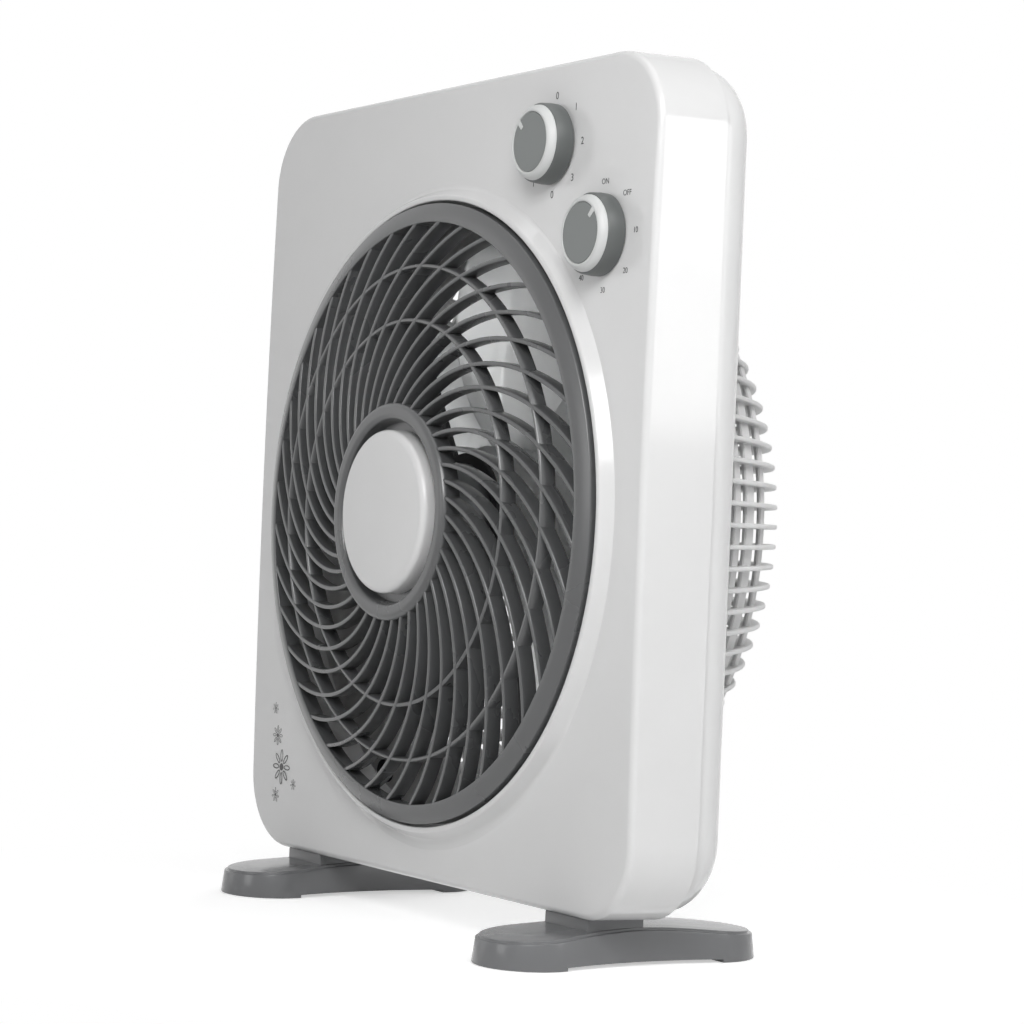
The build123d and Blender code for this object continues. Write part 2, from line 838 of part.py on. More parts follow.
# Feet: peanut outline, arched under the middle, with a plinth that meets the drafted skirt
plinth_front = plate_y + plinth_inset
skirt_fall = skirt_flare / skirt_depth
foot_screw_seat = 8.0
arch_reach = foot_length / 2 + 5
for name, foot_x in zip(("left_foot", "right_foot"), foot_places):
    half = foot_end_width / 2
    waist = foot_waist / 2
    shoulder = foot_length / 2 - foot_end
    screw_places = [(foot_x, plate_y + row) for row in foot_screw_rows]
    with BuildPart() as foot:
        with BuildSketch(Plane.XY):
            with BuildLine(Plane((foot_x, foot_y, 0))):
                ThreePointArc((half, -shoulder), (waist, 0), (half, shoulder))
                ThreePointArc((half, shoulder), (0, foot_length / 2), (-half, shoulder))
                ThreePointArc((-half, shoulder), (-waist, 0), (-half, -shoulder))
                ThreePointArc((-half, -shoulder), (0, -foot_length / 2), (half, -shoulder))
            make_face()
        extrude(amount=foot_height)
        with BuildSketch(Plane.YZ.offset(foot_x - foot_end_width)):
            with BuildLine():
                ThreePointArc(
                    (foot_y - arch_reach, foot_end_height),
                    (foot_y, foot_height),
                    (foot_y + arch_reach, foot_end_height),
                )
                Polyline(
                    (foot_y + arch_reach, foot_end_height),
                    (foot_y + arch_reach, 2 * foot_height),
                    (foot_y - arch_reach, 2 * foot_height),
                    (foot_y - arch_reach, foot_end_height),
                )
            make_face()
        extrude(amount=2 * foot_end_width, mode=Mode.SUBTRACT)
        with BuildSketch(Plane.YZ.offset(foot_x - plinth_width / 2)):
            with BuildLine():
                Polyline(
                    (plinth_front, foot_height / 2),
                    (plinth_front, plate_bottom - skirt_fall * plinth_inset),
                    (skirt_y, plate_bottom - skirt_flare),
                    (skirt_y, foot_height / 2),
                    close=True,
                )
            make_face()
        extrude(amount=plinth_width)
        with BuildSketch(Plane.XY):
            with Locations((foot_x, foot_y)):
                Rectangle(2 * foot_end_width, foot_arch_length)
        extrude(amount=foot_arch, mode=Mode.SUBTRACT)
        with BuildSketch(Plane.XY):
            with Locations(*screw_places):
                RegularPolygon(screw_hole_radius, screw_sides, major_radius=False)
        extrude(amount=2 * foot_height, mode=Mode.SUBTRACT)
        with BuildSketch(Plane.XY):
            with Locations(*screw_places):
                RegularPolygon(screw_head_radius + shell_gap, screw_sides, major_radius=False)
        extrude(amount=foot_screw_seat, mode=Mode.SUBTRACT)
    finish(foot, name)

with BuildPart() as foot_screws:
    with BuildSketch(Plane.XY.offset(foot_screw_seat - screw_head_height)):
        with Locations(*foot_screw_places):
            RegularPolygon(screw_head_radius, screw_sides)
    extrude(amount=screw_head_height)
    with BuildSketch(Plane.XY.offset(foot_screw_seat)):
        with Locations(*foot_screw_places):
            RegularPolygon(screw_radius, screw_sides)
    extrude(amount=plate_bottom + screw_bite - foot_screw_seat - 2)
finish(foot_screws, "foot_screws")
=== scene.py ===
from math import asin, cos, hypot, pi, radians, sin, sqrt

import bpy
from mathutils import Matrix, Vector


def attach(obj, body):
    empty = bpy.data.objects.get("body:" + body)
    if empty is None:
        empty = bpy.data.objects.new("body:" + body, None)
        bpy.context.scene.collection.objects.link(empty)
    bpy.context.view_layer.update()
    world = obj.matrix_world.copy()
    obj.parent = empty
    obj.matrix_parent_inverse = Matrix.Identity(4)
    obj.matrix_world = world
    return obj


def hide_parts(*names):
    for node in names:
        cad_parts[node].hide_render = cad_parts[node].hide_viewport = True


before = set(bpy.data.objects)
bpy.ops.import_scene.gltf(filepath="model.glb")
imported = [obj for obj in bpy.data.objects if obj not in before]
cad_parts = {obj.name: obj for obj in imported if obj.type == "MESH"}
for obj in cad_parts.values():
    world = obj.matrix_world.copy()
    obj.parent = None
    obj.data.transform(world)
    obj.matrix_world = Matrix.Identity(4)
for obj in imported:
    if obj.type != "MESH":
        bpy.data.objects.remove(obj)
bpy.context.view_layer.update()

# Sizes in millimetres, as on the drawing; mm turns them into metres
mm = 0.001
plate_y = -42.0
plate_z = 211.0
axis_z = 196.0
front_width = 350.0
front_height = 380.0
front_crown = 2.1
skirt_depth = 34.5
wall = 2.4
bezel_bore = 148.8
hub_ring_radius = 51.8
speed_dial = (92.5, 153.0)
timer_dial = (136.0, 109.3)

# Steps in a full turn, by the size of the round piece
bezel_round = 200
large_round = 160
middle_round = 128
small_round = 96

# Merge distance in metres, and how squarely a face or an edge has to point to be picked
weld_distance = 0.00001
square_on = 0.9


def spot(x, depth, z):
    """A point given across, behind the front plate and above the floor."""
    return Vector((x * mm, (plate_y + depth) * mm, z * mm))


# Modelling tools


def only(piece):
    """Leave one piece selected and active, in object mode."""
    if bpy.context.object and bpy.context.object.mode != "OBJECT":
        bpy.ops.object.mode_set(mode="OBJECT")
    bpy.ops.object.select_all(action="DESELECT")
    if piece:
        piece.select_set(True)
        bpy.context.view_layer.objects.active = piece


def named(name):
    """Name the piece just added and put its place into its mesh."""
    piece = bpy.context.object
    piece.name = name
    bpy.ops.object.transform_apply(location=True, rotation=True, scale=True)
    return piece


def pick(piece, kind, wanted):
    """Select the points, edges or faces whose middle and direction are wanted, in edit mode."""
    only(piece)
    bpy.ops.object.mode_set(mode="EDIT")
    bpy.ops.mesh.select_mode(type=kind)
    bpy.ops.mesh.select_all(action="DESELECT")
    bpy.ops.object.mode_set(mode="OBJECT")
    mesh = piece.data
    if kind == "FACE":
        for face in mesh.polygons:
            face.select = wanted(face.center / mm, face.normal)
    elif kind == "EDGE":
        for edge in mesh.edges:
            start, end = (mesh.vertices[index].co for index in edge.vertices)
            edge.select = wanted((start + end) / 2 / mm, (end - start).normalized())
    else:
        for point in mesh.vertices:
            point.select = wanted(point.co / mm, point.normal)
    bpy.ops.object.mode_set(mode="EDIT")


def everything(piece):
    """Select the whole mesh of a piece, in edit mode."""
    only(piece)
    bpy.ops.object.mode_set(mode="EDIT")
    bpy.ops.mesh.select_mode(type="VERT")
    bpy.ops.mesh.select_all(action="SELECT")


def done():
    """Leave edit mode."""
    bpy.ops.object.mode_set(mode="OBJECT")


def weld(piece):
    """Merge doubled points and turn the faces outwards."""
    everything(piece)
    bpy.ops.mesh.remove_doubles(threshold=weld_distance)
    bpy.ops.mesh.normals_make_consistent(inside=False)
    done()


def finish_with(piece, kind, **settings):
    """Add a modifier with its settings and apply it."""
    only(piece)
    bpy.ops.object.modifier_add(type=kind)
    modifier = piece.modifiers[-1]
    for setting, value in settings.items():
        setattr(modifier, setting, value)
    bpy.ops.object.modifier_apply(modifier=modifier.name)


def soften(piece, width, segments=3, angle=40.0):
    """Round every edge sharper than an angle."""
    finish_with(
        piece,
        "BEVEL",
        width=width * mm,
        segments=segments,
        limit_method="ANGLE",
        angle_limit=radians(angle),
        miter_outer="MITER_ARC",
        use_clamp_overlap=True,
        harden_normals=False,
    )


def smooth(piece, angle=35.0):
    """Shade smooth across edges flatter than an angle."""
    only(piece)
    bpy.ops.object.shade_smooth_by_angle(angle=radians(angle))


def flat_normals(piece):
    """Keep large flat faces flat beside small rounded edges."""
    finish_with(piece, "WEIGHTED_NORMAL", keep_sharp=True, weight=60)


def carve(piece, cutter):
    """Cut one piece out of another and throw the cutter away."""
    finish_with(piece, "BOOLEAN", operation="DIFFERENCE", solver="EXACT", object=cutter)
    only(cutter)
    bpy.ops.object.delete()


def joined(name, *pieces):
    """Join pieces into the first one."""
    only(pieces[0])
    for piece in pieces[1:]:
        piece.select_set(True)
    bpy.ops.object.join()
    pieces[0].name = name
    return pieces[0]


def draw_line(name, points):
    """One point, drawn on through the others."""
    only(None)
    bpy.ops.mesh.primitive_plane_add(size=mm, location=points[0])
    piece = named(name)
    everything(piece)
    bpy.ops.mesh.merge(type="CENTER")
    for here, there in zip(points, points[1:]):
        bpy.ops.mesh.extrude_region_move(TRANSFORM_OT_translate={"value": there - here})
    done()
    return piece


def turned(name, profile, steps=large_round, x=0.0, z=axis_z):
    """A profile of (radius, depth) points turned about an axis through the front."""
    piece = draw_line(name, [spot(x + radius, depth, z) for radius, depth in profile])
    everything(piece)
    bpy.ops.mesh.spin(steps=steps, angle=2 * pi, center=(x * mm, 0, z * mm), axis=(0, 1, 0))
    done()
    weld(piece)
    return piece


def turn_copies(piece, count, x=0.0, z=axis_z):
    """Repeat a mesh around an axis through the front."""
    everything(piece)
    bpy.ops.mesh.spin(
        steps=count - 1,
        dupli=True,
        angle=2 * pi * (count - 1) / count,
        center=(x * mm, 0, z * mm),
        axis=(0, 1, 0),
    )
    done()


def arc(centre, radius, start, end, steps):
    """Points of (radius, depth) on an arc, angles in degrees from outwards towards the back."""
    turns = [radians(start + (end - start) * step / steps) for step in range(steps + 1)]
    return [(centre[0] + radius * cos(turn), centre[1] + radius * sin(turn)) for turn in turns]


# Finishes
plastic_grain = 1600.0
grain_height = 0.0005
metal_line_height = 0.0003


def node(tree, kind, **settings):
    """Add a node with its settings."""
    made = tree.nodes.new(kind)
    for setting, value in settings.items():
        setattr(made, setting, value)
    return made


def moulded_skin_group():
    """Fine grain and broad flow marks of moulded plastic: roughness, height and tone."""
    group = bpy.data.node_groups.new("moulded_skin", "ShaderNodeTree")
    face = group.interface
    inputs = {"Grain Size": plastic_grain, "Roughness": 0.3, "Spread": 0.1, "Tone": 0.05}
    for name, value in inputs.items():
        socket = face.new_socket(name, in_out="INPUT", socket_type="NodeSocketFloat")
        socket.default_value = value
    base = face.new_socket("Color", in_out="INPUT", socket_type="NodeSocketColor")
    base.default_value = (0.8, 0.8, 0.8, 1.0)
    face.new_socket("Color", in_out="OUTPUT", socket_type="NodeSocketColor")
    face.new_socket("Roughness", in_out="OUTPUT", socket_type="NodeSocketFloat")
    face.new_socket("Height", in_out="OUTPUT", socket_type="NodeSocketFloat")
    inside = node(group, "NodeGroupInput")
    outside = node(group, "NodeGroupOutput")
    place = node(group, "ShaderNodeTexCoord")
    grain = node(group, "ShaderNodeTexNoise")
    grain.inputs["Detail"].default_value = 3.0
    flow = node(group, "ShaderNodeTexNoise")
    flow.inputs["Scale"].default_value = 16.0
    flow.inputs["Detail"].default_value = 4.0
    flow.inputs["Distortion"].default_value = 0.8
    link = group.links.new
    link(place.outputs["Object"], grain.inputs["Vector"])
    link(place.outputs["Object"], flow.inputs["Vector"])
    link(inside.outputs["Grain Size"], grain.inputs["Scale"])
    centred = node(group, "ShaderNodeMath", operation="SUBTRACT")
    centred.inputs[1].default_value = 0.5
    link(flow.outputs["Fac"], centred.inputs[0])
    spread = node(group, "ShaderNodeMath", operation="MULTIPLY_ADD")
    link(centred.outputs[0], spread.inputs[0])
    link(inside.outputs["Spread"], spread.inputs[1])
    link(inside.outputs["Roughness"], spread.inputs[2])
    link(spread.outputs[0], outside.inputs["Roughness"])
    link(grain.outputs["Fac"], outside.inputs["Height"])
    lift = node(group, "ShaderNodeMath", operation="MULTIPLY_ADD")
    link(centred.outputs[0], lift.inputs[0])
    link(inside.outputs["Tone"], lift.inputs[1])
    lift.inputs[2].default_value = 1.0
    shade = node(group, "ShaderNodeVectorMath", operation="SCALE")
    link(inside.outputs["Color"], shade.inputs[0])
    link(lift.outputs[0], shade.inputs["Scale"])
    link(shade.outputs[0], outside.inputs["Color"])
    return group


moulded_skin = moulded_skin_group()


def new_finish(name):
    """An empty finish: its tree and its main shader."""
    finish = bpy.data.materials.new(name)
    finish.use_nodes = True
    return finish, finish.node_tree, finish.node_tree.nodes["Principled BSDF"]


def satin_front(tree, skin, shader, satin):
    """Make faces that look straight out of the front rougher than the polished rest."""
    way = node(tree, "ShaderNodeNewGeometry")
    ahead = node(tree, "ShaderNodeVectorMath", operation="DOT_PRODUCT")
    ahead.inputs[1].default_value = (0, -1, 0)
    facing = node(tree, "ShaderNodeMapRange", interpolation_type="SMOOTHSTEP")
    facing.inputs["From Min"].default_value = 0.35
    facing.inputs["From Max"].default_value = 0.8
    facing.inputs["To Max"].default_value = satin
    total = node(tree, "ShaderNodeMath", operation="ADD")
    tree.links.new(way.outputs["Normal"], ahead.inputs[0])
    tree.links.new(ahead.outputs["Value"], facing.inputs["Value"])
    tree.links.new(facing.outputs["Result"], total.inputs[0])
    tree.links.new(skin.outputs["Roughness"], total.inputs[1])
    tree.links.new(total.outputs[0], shader.inputs["Roughness"])


def plastic(name, color, roughness, spread=0.08, bump=0.012, tone=0.05, satin=0.0, ior=1.5):
    """Moulded plastic with its own grain, gloss and tone."""
    finish, tree, shader = new_finish(name)
    skin = node(tree, "ShaderNodeGroup", node_tree=moulded_skin)
    skin.inputs["Color"].default_value = (*color, 1.0)
    skin.inputs["Grain Size"].default_value = plastic_grain
    skin.inputs["Roughness"].default_value = roughness
    skin.inputs["Spread"].default_value = spread
    skin.inputs["Tone"].default_value = tone
    bumps = node(tree, "ShaderNodeBump")
    bumps.inputs["Strength"].default_value = bump
    bumps.inputs["Distance"].default_value = grain_height
    tree.links.new(skin.outputs["Color"], shader.inputs["Base Color"])
    if satin:
        satin_front(tree, skin, shader, satin)
    else:
        tree.links.new(skin.outputs["Roughness"], shader.inputs["Roughness"])
    tree.links.new(skin.outputs["Height"], bumps.inputs["Height"])
    tree.links.new(bumps.outputs["Normal"], shader.inputs["Normal"])
    shader.inputs["IOR"].default_value = ior
    return finish


def metal(name, color, roughness, stretch, bump=0.05):
    """Bare or plated metal with drawn or stacked lines across one direction."""
    finish, tree, shader = new_finish(name)
    place = node(tree, "ShaderNodeTexCoord")
    mapping = node(tree, "ShaderNodeMapping")
    mapping.inputs["Scale"].default_value = stretch
    lines = node(tree, "ShaderNodeTexNoise")
    lines.inputs["Scale"].default_value = 30.0
    lines.inputs["Detail"].default_value = 4.0
    ramp = node(tree, "ShaderNodeMapRange")
    ramp.inputs["To Min"].default_value = roughness - 0.08
    ramp.inputs["To Max"].default_value = roughness + 0.12
    tones = node(tree, "ShaderNodeMix", data_type="RGBA")
    tones.inputs["A"].default_value = (*[part * 0.8 for part in color], 1.0)
    tones.inputs["B"].default_value = (*color, 1.0)
    bumps = node(tree, "ShaderNodeBump")
    bumps.inputs["Strength"].default_value = bump
    bumps.inputs["Distance"].default_value = metal_line_height
    link = tree.links.new
    link(place.outputs["Object"], mapping.inputs["Vector"])
    link(mapping.outputs["Vector"], lines.inputs["Vector"])
    link(lines.outputs["Fac"], ramp.inputs["Value"])
    link(lines.outputs["Fac"], tones.inputs["Factor"])
    link(lines.outputs["Fac"], bumps.inputs["Height"])
    link(ramp.outputs["Result"], shader.inputs["Roughness"])
    link(tones.outputs["Result"], shader.inputs["Base Color"])
    link(bumps.outputs["Normal"], shader.inputs["Normal"])
    shader.inputs["Metallic"].default_value = 1.0
    return finish


white_plastic = plastic(
    "white_plastic", (0.77, 0.77, 0.77), 0.10, spread=0.03, bump=0.004, satin=0.14
)
guard_plastic = plastic("guard_plastic", (0.72, 0.72, 0.72), 0.4)
grey_plastic = plastic("grey_plastic", (0.088, 0.090, 0.092), 0.28, bump=0.03, tone=0.12, ior=1.65)
foot_plastic = plastic("foot_plastic", (0.165, 0.168, 0.173), 0.2, bump=0.03, tone=0.12)
knob_plastic = plastic("knob_plastic", (0.19, 0.203, 0.20), 0.36, bump=0.03, tone=0.1)
# Darker copy of the knob plastic for the drum: painted shade on the knob's side
drum_painted_shade = plastic("drum_painted_shade", (0.115, 0.123, 0.121), 0.42, bump=0.03, tone=0.1)
ring_plastic = plastic("ring_plastic", (0.66, 0.67, 0.665), 0.4)
blade_plastic = plastic("blade_plastic", (0.86, 0.87, 0.87), 0.4, tone=0.08)
blade_plastic.node_tree.nodes["Principled BSDF"].inputs["Transmission Weight"].default_value = 0.6
black_plastic = plastic("black_plastic", (0.02, 0.02, 0.021), 0.45, bump=0.05, tone=0.3)
print_ink = plastic("print_ink", (0.05, 0.05, 0.052), 0.5, tone=0.3)
grey_ink = plastic("grey_ink", (0.07, 0.07, 0.072), 0.5, tone=0.3)
steel = metal("steel", (0.56, 0.57, 0.58), 0.32, (4.0, 60.0, 4.0))
laminated_steel = metal("laminated_steel", (0.36, 0.36, 0.37), 0.42, (1.0, 90.0, 1.0), bump=0.4)
motor_paint = metal("motor_paint", (0.50, 0.51, 0.52), 0.4, (6.0, 6.0, 6.0))
copper_wire = metal("copper_wire", (0.62, 0.27, 0.12), 0.35, (3.0, 120.0, 3.0), bump=0.5)
bronze = metal("bronze", (0.55, 0.36, 0.16), 0.38, (40.0, 4.0, 40.0))


def dress(piece, finish, body, slot, *nodes):
    """Give a piece its finish, let it ride on its body and stand for its solids."""
    piece.data.materials.clear()
    piece.data.materials.append(finish)
    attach(piece, body)
    if nodes:
        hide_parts(*nodes)
    return piece


# Both housings: boxes with round corners, a wall and a round hole for the fan
corner_steps = 20
cutter_length = 60.0


def rounded_box(name, width, height, start, end, corner):
    """A box from one depth to another, its four long edges rounded."""
    only(None)
    bpy.ops.mesh.primitive_cube_add(size=1, location=spot(0, (start + end) / 2, plate_z))
    bpy.context.object.scale = (width * mm, (end - start) * mm, height * mm)
    box = named(name)
    pick(box, "EDGE", lambda middle, way: abs(way.y) > square_on)
    bpy.ops.mesh.bevel(offset=corner * mm, segments=corner_steps, affect="EDGES")
    done()
    return box


def hollow(shell, hole_name, hole_radius, hole_depth):
    """Give a shell its wall and cut a round hole about the fan axis."""
    finish_with(shell, "SOLIDIFY", thickness=wall * mm, offset=-1)
    only(None)
    bpy.ops.mesh.primitive_cylinder_add(
        vertices=large_round,
        radius=hole_radius * mm,
        depth=cutter_length * mm,
        location=spot(0, hole_depth, axis_z),
        rotation=(pi / 2, 0, 0),
    )
    carve(shell, named(hole_name))
    smooth(shell)


# Front housing: crowned face, soft edge, skirt and bezel
front_corner = 36.0
front_edge = 3.0
skirt_flare = 0.9
crown_rows = 14
row_slack = 0.002
bezel_lap = 1.5
bezel_crest = -8.2
bezel_back = 16.0


def crown(height):
    """How far the front face stands forward at a height above its middle."""
    return front_crown * (1 - (2 * height / front_height) ** 2)


def front_shell():
    shell = rounded_box("front_shell", front_width, front_height, 0, skirt_depth, front_corner)
    pick(shell, "FACE", lambda middle, out: out.y > square_on)
    bpy.ops.mesh.delete(type="FACE")
    pick(shell, "VERT", lambda place, out: place.y > plate_y + skirt_depth - 1)
    bpy.ops.transform.resize(
        value=(1 + 2 * skirt_flare / front_width, 1, 1 + 2 * skirt_flare / front_height),
        center_override=spot(0, skirt_depth, plate_z),
    )
    done()
    straight = front_height - 2 * front_corner
    for row in range(1, crown_rows):
        level = -front_height / 2 + front_corner + row * straight / crown_rows
        pick(shell, "FACE", lambda middle, out: out.y < -square_on)
        bpy.ops.mesh.bisect(plane_co=spot(0, 0, plate_z + level), plane_no=(0, 0, 1))
        done()
    for height in sorted({round(point.co.z / mm, 3) for point in shell.data.vertices}):
        pick(
            shell,
            "VERT",
            lambda place, out: abs(place.z - height) < row_slack and place.y < plate_y + 1,
        )
        bpy.ops.transform.translate(value=(0, -crown(height - plate_z) * mm, 0))
        done()
    soften(shell, front_edge, segments=5, angle=50)
    hollow(shell, "fan_hole", bezel_bore + bezel_lap, 0)
    bezel = turned("bezel", bezel_profile(), steps=bezel_round)
    smooth(bezel, 60)
    flat_normals(shell)
    return joined("front_housing_shell", shell, bezel)


def bezel_profile():
    """Bore, rounded crest, outer slope and the foot that runs out on the front face."""
    points = [(bezel_bore, bezel_back), (bezel_bore, 0.0), (bezel_bore, bezel_crest + 0.8)]
    points += arc((bezel_bore + 0.8, bezel_crest + 0.8), 0.8, 180, 270, 5)
    points += arc((bezel_bore + 1.7, bezel_crest + 1.5), 1.5, -90, -35, 6)
    points += [(154.4, -2.6), (155.0, -1.8), (156.0, -1.2), (158.0, -0.6)]
    points += [(161.6, -0.05), (161.6, 0.5)]
    outside = bezel_bore + wall
    return points + [(outside, 1.0), (outside, bezel_back), (bezel_bore, bezel_back)]


dress(front_shell(), white_plastic, "housing", "white_plastic", "front_housing")


# Rear housing, set in from the skirt
rear_width = 346.4
rear_height = 376.4
rear_corner = 34.0
rear_edge = 18.0
rear_lap = 5.0
rear_depth = 56.0
rear_hole = 141.0


def rear_shell():
    start = skirt_depth - rear_lap
    shell = rounded_box(
        "rear_housing_shell", rear_width, rear_height, start, rear_depth, rear_corner
    )
    pick(shell, "FACE", lambda middle, out: out.y < -square_on)
    bpy.ops.mesh.delete(type="FACE")
    done()
    soften(shell, rear_edge, segments=10, angle=50)
    hollow(shell, "rear_hole", rear_hole, rear_depth)
    flat_normals(shell)
    return shell


dress(rear_shell(), white_plastic, "housing", "white_plastic", "rear_housing")


# Rear guard: level fins on a bowl, hoops about the fan axis, flange and motor disc
bowl_radius = 153.0
bowl_start = 56.0
bowl_depth = 67.9
fin_pitch = 10.1
fin_levels = 15
fin_thickness = 2.2
fin_width = 12.0
fin_lean = 0.0024
fin_gap = 0.2
fin_edge = 0.8
hoop_inset = 6.0
hoop_depths_and_widths = ((71, 4.0), (79, 5.0), (89, 3.0))
motor_disc_front = 117.0
motor_room = 54.0


def bowl_points(shrink, height, steps=16):
    """Points across the bowl at a height above the fan axis, on a line inside its outer one."""
    rim, sink = bowl_radius - shrink, bowl_depth - shrink
    if abs(height) >= rim:
        return [Vector((at.x, bowl_start, at.z)) for at in bowl_points(0, height, steps)]
    start = (abs(height) / rim) ** 1.5
    right = []
    for step in range(steps + 1):
        share = start + (1 - start) * sin(radians(90 * step / steps))
        reach = rim * share ** (2 / 3)
        across = sqrt(max(0.0, reach**2 - height**2))
        back = sink * max(0.0, 1 - share**2) ** (1 / 3)
        right.append(Vector((across, bowl_start + back, height * (1 - fin_lean * back))))
    return [Vector((-at.x, at.y, at.z)) for at in reversed(right[1:])] + right


def guard_fin(level):
    """A level fin that follows the bowl and leans to the fan axis towards the back."""
    height = level * fin_pitch
    edge, root = bowl_points(0, height), bowl_points(fin_width, height)
    for at in root:
        if hypot(at.x, at.z) < motor_room:
            at.y = motor_disc_front + fin_gap
    outer = draw_line("guard_fin", [spot(at.x, at.y, axis_z + at.z) for at in edge])
    inner = draw_line("fin_root", [spot(at.x, at.y, axis_z + at.z) for at in root])
    fin = joined("guard_fin", outer, inner)
    everything(fin)
    bpy.ops.mesh.bridge_edge_loops()
    done()
    weld(fin)
    finish_with(fin, "SOLIDIFY", thickness=fin_thickness * mm, offset=0)
    soften(fin, fin_edge, segments=3, angle=50)
    return fin


def guard_hoop(depth, width):
    """A band just inside the fins' outer edges, at a depth."""
    share = (depth - bowl_start) / bowl_depth
    radius = bowl_radius * (1 - share**3) ** (1 / 3) - hoop_inset
    half = width / 2
    profile = [
        (radius, depth - half + 0.6), (radius, depth + half - 0.6), (radius - 0.6, depth + half),
        (radius - 2.4, depth + half), (radius - 2.4, depth - half), (radius - 0.6, depth - half),
        (radius, depth - half + 0.6),
    ]
    return turned("guard_hoop", profile, steps=middle_round)


def rear_guard():
    pieces = [guard_fin(level) for level in range(-fin_levels, fin_levels + 1)]
    pieces += [guard_hoop(depth, width) for depth, width in hoop_depths_and_widths]
    flange = [
        (141, 56), (154, 56), (154, 57.6), (153.2, 58.4), (141.8, 58.4), (141, 57.6), (141, 56)
    ]
    pieces.append(turned("guard_flange", flange))
    front = motor_disc_front
    disc = [
        (0, front), (49.2, front), (50, front + 0.8),
        (50, front + 2.2), (49.2, front + 3), (0, front + 3),
    ]
    pieces.append(turned("motor_disc", disc, steps=small_round))
    guard = joined("rear_guard_bowl", *pieces)
    smooth(guard, 40)
    return guard


dress(rear_guard(), guard_plastic, "housing", "white_plastic", "rear_guard")


# Spiral grille: vanes over a dome, two hoops, a sloped rim and the hub ring
vane_count = 40
vane_sweep = 0.566
vane_phase = 1.3
vane_start = 50.3
vane_reach = 88.7
vane_steps = 22
vane_depth = 8
vane_thickness = 2.0
vane_edge = 0.55
grille_hoops = (91.1, 117.2)
dome_height = 25.2
dome_slope = 0.0944
dome_curve = 0.000641


def dome(radius):
    """How far the vanes' front edges stand in front of the plate."""
    reach = radius - hub_ring_radius
    return dome_height - dome_slope * reach - dome_curve * reach**2


def grille_vane():
    """One vane from the hub ring to the rim, turning steadily as it goes out."""
    points = []
    for step in range(vane_steps + 1):
        radius = vane_start + vane_reach * step / vane_steps
        turn = radians(vane_phase + vane_sweep * (radius - hub_ring_radius))
        points.append(spot(radius * sin(turn), -dome(radius), axis_z + radius * cos(turn)))
    vane = draw_line("grille_vanes", points)
    everything(vane)
    bpy.ops.mesh.extrude_region_move(TRANSFORM_OT_translate={"value": (0, vane_depth * mm, 0)})
    bpy.ops.mesh.normals_make_consistent(inside=False)
    done()
    finish_with(vane, "SOLIDIFY", thickness=vane_thickness * mm, offset=0)
    soften(vane, vane_edge, segments=2, angle=50)
    return vane


def grille_hoop(radius):
    """A thin band that ties the vanes together, its front edge just behind theirs."""
    front = -dome(radius) + 0.3
    profile = [
        (radius - 0.5, front), (radius + 0.5, front), (radius + 1, front + 0.5),
        (radius + 1, front + 7.5), (radius - 1, front + 7.5), (radius - 1, front + 0.5),
        (radius - 0.5, front),
    ]
    return turned("grille_hoop", profile)


def rim_profile():
    """Broad rim that falls back a little to a crisp edge and a deep outer wall, open behind."""
    points = [(138.2, -4.4), (138.2, -12.0)]
    points += arc((138.8, -12.0), 0.6, 180, 270, 4)
    points += [(141.5, -12.1), (144.5, -11.0)]
    points += arc((146.8, -9.4), 0.6, -70, 0, 4)
    points += [(147.4, -1.0), (145.4, -1.0), (145.4, -8.4), (143.5, -9.4)]
    return points + [(140.2, -10.2), (140.2, -4.4), (138.2, -4.4)]


def hub_profile():
    """Rounded hub ring, its well for the cap and the collar on the shaft."""
    points = [(hub_ring_radius, -17.2), (hub_ring_radius, -23.6)]
    points += arc((48.8, -23.9), 3.0, 0, -90, 7)
    points += arc((46.5, -23.9), 3.0, -90, -170, 7)
    points += [(43.3, -21.0), (42.6, -19.7), (3.55, -19.7), (3.55, -6.2)]
    return points + [(8, -6.2), (8, -17.2), (hub_ring_radius, -17.2)]


def front_grille():
    vanes = grille_vane()
    turn_copies(vanes, vane_count)
    weld(vanes)
    pieces = [vanes] + [grille_hoop(radius) for radius in grille_hoops]
    pieces.append(turned("grille_rim", rim_profile(), steps=bezel_round))
    pieces.append(turned("grille_hub", hub_profile(), steps=middle_round))
    grille = joined("spiral_grille", *pieces)
    smooth(grille, 45)
    return grille


dress(front_grille(), grey_plastic, "grille", "grey_plastic", "front_grille")


def hub_cap():
    """Flat white cap with a rounded edge, seated in the hub ring's well."""
    profile = [(0, -29.9), (20, -29.9), (30, -29.7), (34.6, -29.4)]
    profile += arc((35.6, -26.2), 3.2, -95, 0, 9)
    profile += [(38.9, -24), (39.0, -19.8), (0, -19.8)]
    cap = turned("hub_cap_shell", profile, steps=middle_round)
    smooth(cap, 40)
    return cap


dress(hub_cap(), white_plastic, "grille", "white_plastic", "hub_cap")


# Knobs: grey drum, white front ring, grey face and a white pointer
drum_profile = [
    (0, -1.6), (17.6, -1.6), (18.2, -2.2), (18.3, -5.0), (17.9, -9.5), (17.3, -10.4), (0, -10.4)
]
ring_profile = [
    (13.6, -10.2), (17.0, -10.2), (16.9, -11.0), (16.6, -11.9), (16.0, -12.8), (15.3, -13.5),
    (14.6, -14.0), (14.1, -14.05), (13.8, -13.9), (13.6, -13.6), (13.6, -10.2),
]
face_profile = [(0, -13.8), (13.2, -13.8), (13.5, -13.5), (13.5, -10.2), (0, -10.2)]
pointer_size = (2.6, 2.0, 4.8)
pointer_depth = -13.1
pointer_rise = 11.7
pointer_taper = 0.8
pointer_edge = 0.35


